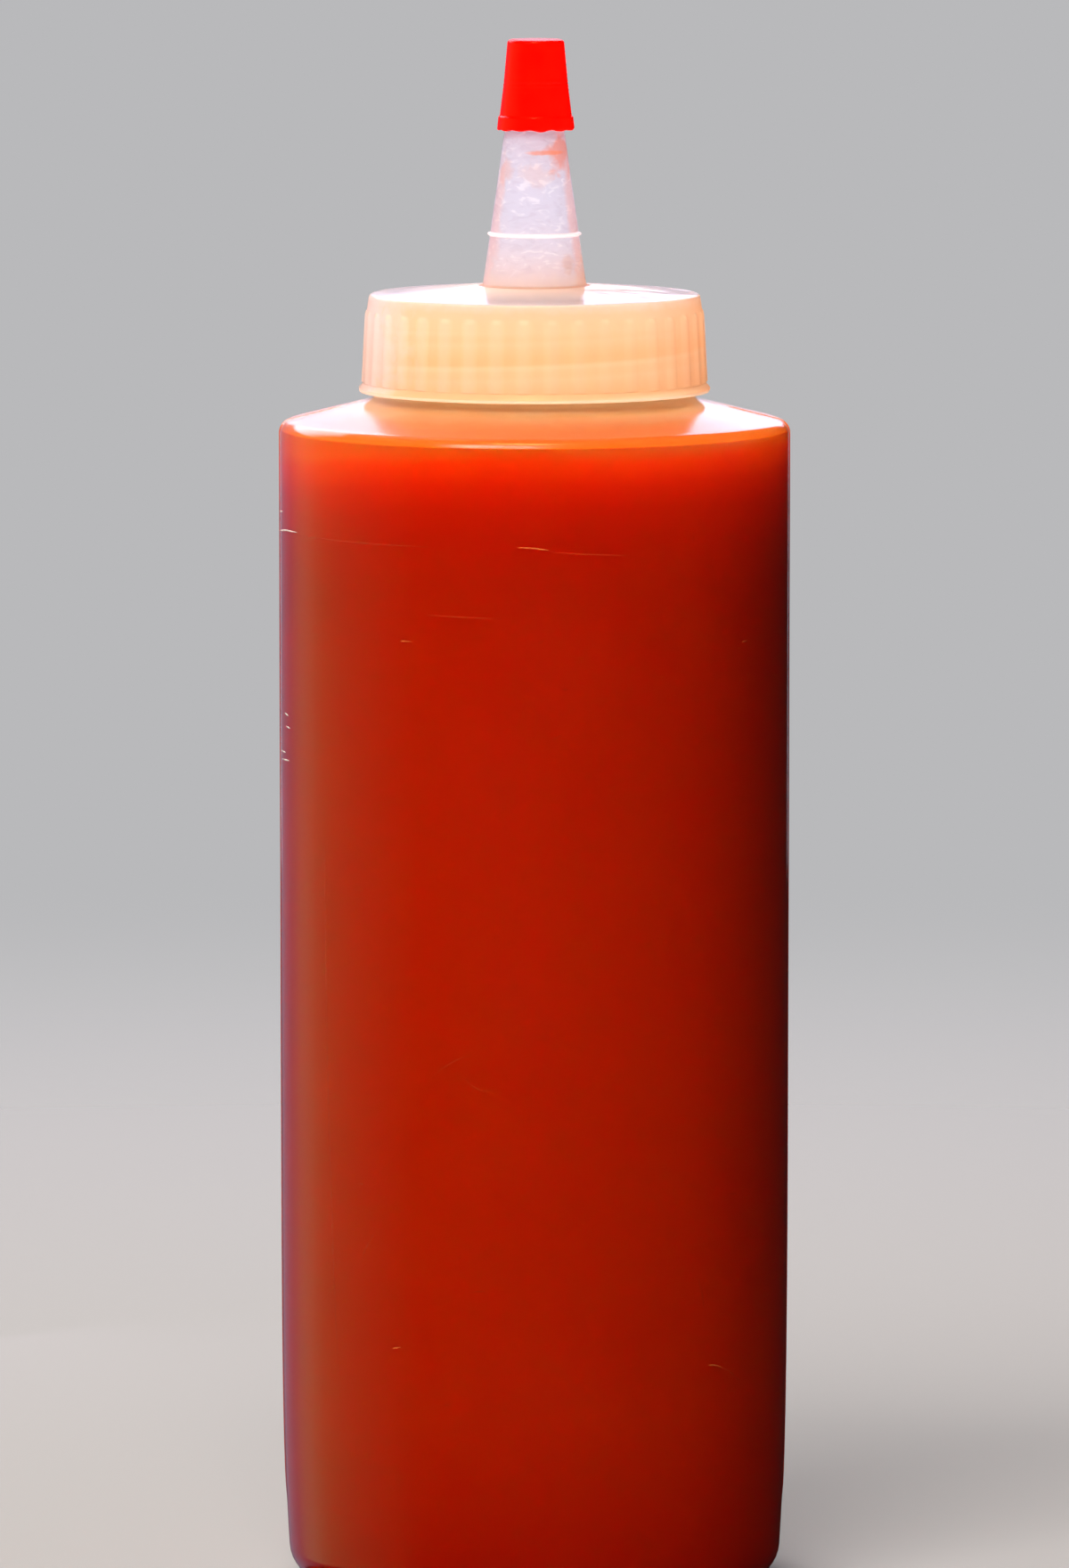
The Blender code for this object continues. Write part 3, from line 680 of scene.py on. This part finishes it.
def makeCap(material):
    # the outline turned round the axis and moved along its normal by ribs, steps of cos(ribs x turn) that
    # end in round tops, by the thread's ridge in the bore, and by a mottle inside the spout
    size = cap
    outline = capOutline()
    azimuths = evenAzimuths(size["ribCount"] * size["columnsPerRib"])
    angle, radius, height = azimuths[None, :], outline[:, :1], outline[:, 1:]
    onSkirt = (radius > size["rimRadius"] + 0.05) & (height > size["ribFoot"] + size["lipSlope"] + 0.05)
    swing = (size["ribCount"] * angle - math.pi / 4 + math.pi) % (2 * math.pi) - math.pi
    across = smoothStep((np.cos(swing) + 0.35) / 0.9)
    roundTop = size["ribTop"] + size["ribEnd"] - height - 0.45 * (swing / (math.pi / 2)) ** 2
    lengthwise = smoothStep(roundTop / size["ribEnd"]) * smoothStep((height - size["ribFoot"]) / 0.3)
    relief = onSkirt * size["ribDepth"] * across * lengthwise
    inBore = (np.abs(radius - size["bore"]) < 0.02) & (height < size["underside"] - 0.3)
    ridge = threadShare(
        angle, height, -bottle["threadPitch"] / 2, size["threadTurns"], size["threadBase"], size["threadTip"])
    relief = relief + inBore * size["threadDepth"] * ridge * (height > size["bottom"] + 0.4)
    inChannel = (radius < spoutRadius(height) - size["spoutWall"] / 2) & (height > size["underside"] + 0.5)
    patches = ripple(angle, height, wavesRound=6, waveHeight=2.4, seed=21)
    fade = smoothStep((size["spoutEnd"] - height) / 2) * smoothStep((height - size["underside"] - 0.5) / 1)
    relief = relief + inChannel * size["mottle"] * patches * fade
    points = turned(outline, pathNormals(outline, True), azimuths, relief)
    return makePiece("spoutCap", [(points, True)], material, "spout_cap")


def threadBands(tree, angle, height):
    # where the bottle's thread shines through: a ramp over the fraction of (height - start) / pitch - turn.
    # Whole turns are added, which keeps it positive
    pitch, start, wholeTurns = bottle["threadPitch"], bottle["threadStart"], 40
    turn = addNode(tree, "Math", {
        "operation": "MULTIPLY_ADD", 0: angle, 1: 1 / (2 * math.pi), 2: 1 - bottle["threadAzimuth"] / 360})
    turn = addNode(tree, "Math", {"operation": "FRACT", 0: turn})
    lift = addNode(tree, "Math", {
        "operation": "MULTIPLY_ADD", 0: height, 1: 1 / (pitch * mm), 2: wholeTurns - start / pitch})
    lap = addNode(tree, "Math", {"operation": "SUBTRACT", 0: lift, 1: turn})
    lap = addNode(tree, "Math", {"operation": "FRACT", 0: lap})
    bands = addNode(tree, "ValToRGB", {"Fac": lap, "stops": cap["bandStops"]})
    below = addNode(tree, "MapRange", {
        "interpolation_type": "SMOOTHSTEP", "From Min": cap["bandHigh"] * mm,
        "From Max": cap["bandLow"] * mm, "To Max": cap["bandShare"], "Value": height})
    return addNode(tree, "Math", {"operation": "MULTIPLY", 0: bands, 1: below})


def ovalMask(tree, angle, height, ragged, ovalEntry):
    # a ragged oval: a noise less the length of (turn / half width, height / half height)
    turnMiddle, heightMiddle, wide, tall, rough, _, most = ovalEntry
    u = addNode(tree, "Math", {
        "operation": "MULTIPLY_ADD", 0: angle, 1: math.degrees(1) / wide, 2: -turnMiddle / wide})
    v = addNode(tree, "Math", {
        "operation": "MULTIPLY_ADD", 0: height, 1: 1000 / tall, 2: -heightMiddle / tall})
    both = addNode(tree, "CombineXYZ", {"X": u, "Y": v})
    span = addNode(tree, "VectorMath", {"operation": "LENGTH", 0: both})
    edge = addNode(tree, "Math", {"operation": "MULTIPLY_ADD", 0: ragged, 1: 2 * rough, 2: 1 - rough})
    inner = addNode(tree, "Math", {"operation": "SUBTRACT", 0: edge, 1: span})
    return addNode(tree, "MapRange", {"From Max": 0.5, "To Max": most, "Value": inner})


def patchMask(tree, measures, ranges):
    # the product of the ranges, each of which runs from its low to its high value between start and end
    total = 1.0
    for measure, start, end, low, high in ranges:
        value, unit, zero = measures[measure]
        part = addNode(tree, "MapRange", {
            "From Min": (zero + start) * unit, "From Max": (zero + end) * unit, "To Min": low, "To Max": high,
            "Value": value})
        total = addNode(tree, "Math", {"operation": "MULTIPLY", 0: part, 1: total})
    return total


def capPlastic():
    # injection-moulded natural polyethylene: milky and lit through. Its colour carries what shows behind
    # it: the threads as soft bands, droplets as pale flecks, and smeared sauce in the spout. Over that lies
    # painted
    # light: the droplets' flecks and hollows are painted highlights and shade, and the ovals and patches add
    # highlights, a sheen, a reflection and shade
    material, tree, place = newMaterial("natural polyethylene, moulded")
    across, back, height = addNode(tree, "SeparateXYZ", {"Vector": place}).outputs
    angle = addNode(tree, "Math", {"operation": "ARCTAN2", 0: back, 1: across})
    color = colorByHeight(tree, place, cap["colors"], patchSize=1.8, drift=0.6)
    color = addNode(tree, "Mix", {
        "data_type": "RGBA", "blend_type": "MULTIPLY", 0: threadBands(tree, angle, height), 6: color,
        7: linearColor(cap["bandTint"])})

    # droplets: the tops of a fine noise are paler, as painted highlights, and its hollows darker, as painted
    # shade, on the spout alone
    onSpout = addNode(tree, "MapRange", {
        "From Min": cap["dropLow"] * mm, "From Max": cap["dropHigh"] * mm, "Value": height})
    flat = addNode(tree, "Mapping", {"Scale": (0.8, 0.8, 1.9), "Vector": place})
    drops = addNode(tree, "TexNoise", {"Scale": 1000 / 1.3, "Detail": 1.0, "Distortion": 0.8, "Vector": flat})
    layers = []
    for low, high, tint, most in cap["dropLightAndShade"]:
        mask = addNode(tree, "MapRange", {"From Min": low, "From Max": high, "To Max": most, "Value": drops})
        layers.append((addNode(tree, "Math", {"operation": "MULTIPLY", 0: mask, 1: onSpout}), tint))

    # smeared sauce and painted light in ovals over the droplets, patches of painted light and shade over both
    ragged = addNode(tree, "TexNoise", {
        "Scale": 1000 / 2.5, "Detail": 3.0, "Distortion": 1.0, "Vector": place})
    layers += [(ovalMask(tree, angle, height, ragged, ovalEntry), ovalEntry[5]) for ovalEntry in cap["smearsAndPaintedLight"]]
    ribs = addNode(tree, "Math", {"operation": "MULTIPLY_ADD", 0: angle, 1: cap["ribCount"], 2: -math.pi / 4})
    ribs = addNode(tree, "Math", {"operation": "COSINE", 0: ribs})
    flatPlace = addNode(tree, "Mapping", {"Scale": (1, 1, 0), "Vector": place})
    radius = addNode(tree, "VectorMath", {"operation": "LENGTH", 0: flatPlace})
    measures = {"ribs": (ribs, 1, 0), "across": (across, mm, 0), "radius": (radius, mm, 0)}
    for name in ("ribFoot", "ribTop", "top", "crown", "beadHeight"):
        measures[name] = (height, mm, cap[name])
    share = cap["through"]
    masks = {}
    for name, (tint, less, ranges) in cap["patches"].items():
        masks[name] = patchMask(tree, measures, ranges)
        layers.append((masks[name], tint))
        if less:
            share = addNode(tree, "Math", {"operation": "MULTIPLY_ADD", 0: masks[name], 1: -less, 2: share})
    for mask, tint in layers:
        color = addNode(tree, "Mix", {"data_type": "RGBA", 0: mask, 6: color, 7: linearColor(tint)})

    # fine grain everywhere, droplets' relief on the spout, and slow waves on the right of the flat top
    grain = addNode(tree, "TexNoise", {"Scale": 1000 / 5, "Detail": 2.0, "Vector": place})
    gloss = addNode(tree, "MapRange", {"To Min": 0.1, "To Max": 0.22, "Value": grain})
    bump = addNode(tree, "Bump", {"Strength": 0.3, "Distance": 0.12 * mm, "Height": grain})
    bump = addNode(tree, "Bump", {
        "Strength": onSpout, "Distance": 0.14 * mm, "Height": drops, "Normal": bump})
    waves = addNode(tree, "TexNoise", {"Scale": 1000 / 11, "Detail": 2.0, "Vector": place})
    onRight = addNode(tree, "MapRange", {
        "From Min": cap["waveLeft"] * mm, "From Max": cap["waveRight"] * mm, "Value": across})
    wavy = addNode(tree, "Math", {"operation": "MULTIPLY", 0: masks["flatTop"], 1: onRight})
    bump = addNode(tree, "Bump", {"Strength": wavy, "Distance": 1.2 * mm, "Height": waves, "Normal": bump})
    shader = addNode(tree, "BsdfPrincipled", {
        "IOR": 1.5, "Specular IOR Level": 1.0, "Base Color": color, "Roughness": gloss, "Normal": bump})
    glow = addNode(tree, "BsdfTranslucent", {"Color": color, "Normal": bump})
    mixed = addNode(tree, "MixShader", {0: share, 1: shader, 2: glow})
    addNode(tree, "OutputMaterial", {"Surface": mixed})
    return material


# The small red cap over the spout's end
tip = {
    "shift": 0.15, "top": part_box("tip_cap")[1].z / mm, "topRadius": 3.3, "edge": 0.22,
    "knee": 175.1, "kneeRadius": 3.74, "bandTop": 171.4, "bandTopRadius": 4.19, "bandStep": 0.17,
    "bottom": 169.75, "bottomRadius": 4.52, "innerTop": 179.1, "gap": 0.35,
    "scallops": 11, "scallopDepth": 0.12, "dish": 0.12,
    "ringLow": 173.6, "ringHigh": 176.0, "ringPitch": 0.55, "ringDepth": 0.015, "columns": 180,
    "reds": {0.35: "#ff0900", 0.65: "#ff1000"}, "through": 0.65,
}


def makeTip(material):
    # the outline turned round the axis, with faint rings cos(2 pi z / pitch) and a rim that waves with the
    # turn, then moved sideways
    size = tip
    innerBottom = spoutRadius(size["bottom"]) + size["gap"]
    innerTop = spoutRadius(size["innerTop"]) + size["gap"]
    outline = roundedPath([
        (0, size["top"] - size["dish"], 0),
        (size["topRadius"] - 0.8, size["top"] - size["dish"] * 0.4, 0.4),
        (size["topRadius"] - 0.25, size["top"], 0.15),
        (size["topRadius"], size["top"] - size["edge"], 0.18),
        (size["kneeRadius"], size["knee"], 0.5),
        (size["bandTopRadius"], size["bandTop"], 0.06),
        (size["bandTopRadius"] + size["bandStep"], size["bandTop"] - size["bandStep"], 0.08),
        (size["bottomRadius"], size["bottom"], 0.2),
        (innerBottom, size["bottom"], 0.12),
        (innerTop, size["innerTop"], 0.3),
        (0, size["innerTop"], 0),
    ], 5)
    outline = spacedPath(outline, 0.2)
    azimuths = evenAzimuths(size["columns"])
    angle, radius, height = azimuths[None, :], outline[:, :1], outline[:, 1:]
    outerSide = radius > spoutRadius(height) + size["gap"] + 0.15
    window = smoothStep((height - size["ringLow"]) / 0.4) * smoothStep((size["ringHigh"] - height) / 0.4)
    rings = outerSide * window * size["ringDepth"] * np.cos(2 * np.pi * height / size["ringPitch"])
    points = turned(outline, pathNormals(outline), azimuths, rings)
    nearEdge = smoothStep((size["bottom"] + 0.5 - height) / 0.5)
    uneven = 0.7 * np.cos(size["scallops"] * angle) + 0.3 * np.cos((size["scallops"] - 4) * angle + 1)
    points[..., 2] += nearEdge * size["scallopDepth"] * uneven
    points[..., 0] += size["shift"]
    return makePiece("tipCap", [(points, False)], material, "tip_cap")


def tipPlastic():
    # moulded red polyethylene: a strong red, lit through, with a soft gloss and faint moulding marks
    material, tree, place = newMaterial("red polyethylene, moulded")
    cloud = addNode(tree, "TexNoise", {"Scale": 1000 / 3, "Detail": 2.0, "Vector": place})
    color = addNode(tree, "ValToRGB", {"stops": tip["reds"], "Fac": cloud})
    gloss = addNode(tree, "MapRange", {"To Min": 0.14, "To Max": 0.22, "Value": cloud})
    grain = addNode(tree, "TexNoise", {"Scale": 1000 / 0.6, "Detail": 2.0, "Vector": place})
    bump = addNode(tree, "Bump", {"Strength": 0.25, "Distance": 0.04 * mm, "Height": grain})
    shader = addNode(tree, "BsdfPrincipled", {
        "IOR": 1.5, "Specular IOR Level": 0.6, "Base Color": color, "Roughness": gloss, "Normal": bump})
    glow = addNode(tree, "BsdfTranslucent", {"Color": color})
    mixed = addNode(tree, "MixShader", {0: tip["through"], 1: shader, 2: glow})
    addNode(tree, "OutputMaterial", {"Surface": mixed})
    return material


# The studio: a pale round floor that fades into a plain backdrop, and soft boxes round the bottle
studio = {
    "floorRadius": 820, "fadeStart": 200, "fadeEnd": 795.4, "floorColor": "#8f8c8a",
    "backdrop": "#b9b9bb", "ambient": "#141414",
    "cameraPlace": (0, -2000, 290), "cameraTilt": 5.62, "focalPixels": 19314, "longSidePixels": 1760,
    "sensor": 36,
}
# name: azimuth from the front towards the right, distance from the axis, height of its middle, angle that it
# faces down by, width, height, brightness, shares of its width that fade out at the left and at the right as
# seen from behind it, colour, and whether it only lights, is only mirrored, or both
softBoxes = {
    "keyBox": (-20, 892, 893, 42, 1000, 500, 21.8, 0.25, 0.25, "#fffaf4", "lights"),
    "topBox": (-160, 500, 956, 60, 700, 700, 8.0, 0.1, 0.1, "#ffffff", "lights"),
    "backBox": (180, 822, 470, 25, 600, 480, 8.0, 0.1, 0.1, "#f8f4ff", "lights"),
    "frontBox": (-8, 400, 1040, 66, 560, 220, 10.0, 0.4, 0.4, "#ffe68c", "mirrored"),
    "leftBackBox": (-135, 200, 90, 0, 260, 320, 0.44, 0.1, 0.7, "#cdbedb", "both"),
    "leftHighBox": (-146, 500, 410, 30, 560, 240, 4.2, 0.2, 0.4, "#f0eaff", "mirrored"),
    "leftCard": (-95, 220, 90, 0, 480, 320, 0.8, 0.35, 0.8, "#bccf88", "both"),
    "backGlossBox": (180, 820, 470, 25, 600, 480, 3.2, 0.1, 0.5, "#eae4ff", "mirrored"),
    "horizonBox": (180, 900, 140, 0, 400, 300, 0.68, 0.15, 0.15, "#f0ecff", "mirrored"),
    "leftCapCard": (-74, 66, 152, -45, 100, 30, 3.0, 0.05, 0.05, "#fff4f6", "lights"),
    "frontCard": (0, 66, 152, -45, 90, 30, 1.9, 0.05, 0.05, "#fff8f2", "lights"),
    "rightCard": (60, 66, 152, -45, 100, 30, 3.9, 0.05, 0.05, "#fff8f2", "lights"),
    "rightCapCard": (100, 66, 152, -45, 90, 30, 4.0, 0.05, 0.05, "#fff8f2", "lights"),
    "leftLipCard": (-78, 66, 138, -78, 95, 20, 7.0, 0.05, 0.05, "#fff8f2", "lights"),
    "frontLipCard": (0, 66, 138, -78, 95, 20, 4.6, 0.05, 0.05, "#fff8f2", "lights"),
    "rightLipCard": (78, 66, 138, -78, 95, 20, 8.5, 0.05, 0.05, "#fff8f2", "lights"),
}


def makeStage():
    # a disc of rings that widen outwards, made as the upper side of a closed shape, so that it faces up
    radius = studio["floorRadius"]
    rings = np.concatenate(([0], np.geomspace(40, radius, 30), [radius]))[:, None]
    angle = evenAzimuths(96)[None, :]
    points = np.stack((rings * np.cos(angle), rings * np.sin(angle), 0 * rings * angle), axis=-1)
    points[-1, :, 2] = -2
    material, tree, place = newMaterial("matt paper")
    fibre = addNode(tree, "TexNoise", {"Scale": 1000 / 4, "Detail": 3.0, "Vector": place})
    bump = addNode(tree, "Bump", {"Strength": 0.1, "Distance": 0.2 * mm, "Height": fibre})
    paper = addNode(tree, "BsdfDiffuse", {"Color": linearColor(studio["floorColor"]), "Normal": bump})
    reach = addNode(tree, "VectorMath", {"operation": "LENGTH", 0: place})
    fade = addNode(tree, "MapRange", {
        "interpolation_type": "SMOOTHSTEP", "From Min": studio["fadeStart"] * mm,
        "From Max": studio["fadeEnd"] * mm, "Value": reach})
    clear = addNode(tree, "BsdfTransparent")
    mixed = addNode(tree, "MixShader", {0: fade, 1: paper, 2: clear})
    addNode(tree, "OutputMaterial", {"Surface": mixed})
    mesh = bpy.data.meshes.new("studioFloor")
    upper = surfaceFaces(points, False)[:2]
    faces = [face for part in upper for face in part.tolist()]
    mesh.from_pydata(points.reshape(-1, 3) * mm, [], faces)
    mesh.validate()
    mesh.materials.append(material)
    floor = addObject("studioFloor", mesh)
    floor.visible_glossy = floor.visible_diffuse = floor.visible_shadow = False


def makeWorld():
    # the camera sees a plain pale backdrop; everything else is lit by a faint even glow
    world = bpy.data.worlds.new("studioWorld")
    world.use_nodes = True
    tree = world.node_tree
    tree.nodes.clear()
    seen = addNode(tree, "LightPath").outputs["Is Camera Ray"]
    color = addNode(tree, "Mix", {
        "data_type": "RGBA", 6: linearColor(studio["ambient"]), 7: linearColor(studio["backdrop"]), 0: seen})
    glow = addNode(tree, "Background", {"Strength": 1.0, "Color": color})
    addNode(tree, "OutputWorld", {"Surface": glow})
    bpy.context.scene.world = world


def makeLights():
    # power = brightness x pi x area, so that the box looks as bright as its number from any distance
    for name, values in softBoxes.items():
        azimuth, reach, rise, pitch, width, height, brightness, fadeA, fadeB, color, role = values
        turn = math.radians(azimuth)
        light = bpy.data.lights.new(name, "AREA")
        light.shape = "RECTANGLE"
        light.size, light.size_y = width * mm, height * mm
        light.energy = brightness * math.pi * light.size * light.size_y
        light.color = linearColor(color)[:3]
        light.use_nodes = True
        tree = light.node_tree
        tree.nodes.clear()
        across = addNode(tree, "NewGeometry").outputs["Parametric"]
        across = addNode(tree, "SeparateXYZ", {"Vector": across}).outputs["X"]
        strength = 1.0
        for edge, inside in ((0.0, fadeA), (1.0, 1.0 - fadeB)):
            fade = addNode(tree, "MapRange", {
                "interpolation_type": "SMOOTHSTEP", "From Min": edge, "From Max": inside, "Value": across})
            strength = addNode(tree, "Math", {"operation": "MULTIPLY", 0: fade, 1: strength})
        glow = addNode(tree, "Emission", {"Strength": strength})
        addNode(tree, "OutputLight", {"Surface": glow})
        box = addObject(name, light)
        box.location = np.array((reach * math.sin(turn), -reach * math.cos(turn), rise)) * mm
        box.rotation_euler = (math.pi / 2 - math.radians(pitch), 0, turn)
        box.visible_camera = False
        box.visible_glossy = role != "lights"
        box.visible_diffuse = box.visible_transmission = role != "mirrored"


def makeCamera():
    # focal length = focal pixels x sensor / the frame's long side in pixels
    camera = bpy.data.cameras.new("studioCamera")
    camera.sensor_width = studio["sensor"]
    camera.lens = studio["focalPixels"] * studio["sensor"] / studio["longSidePixels"]
    camera.clip_end = 50
    holder = addObject("studioCamera", camera)
    holder.location = np.array(studio["cameraPlace"]) * mm
    holder.rotation_euler = (math.radians(90 - studio["cameraTilt"]), 0, 0)
    bpy.context.scene.camera = holder
    bpy.context.scene.view_settings.view_transform = "Standard"


makeBottle(bottlePlastic())
for kind in ("whiteGlint", "orange", "faint"):
    makeScuffs(kind)
makeSauce(sauceBody())
makeFilm(sauceThin())
makeCap(capPlastic())
makeTip(tipPlastic())
makeStage()
makeWorld()
makeLights()
makeCamera()
print("pieces, stage, lights and camera made")
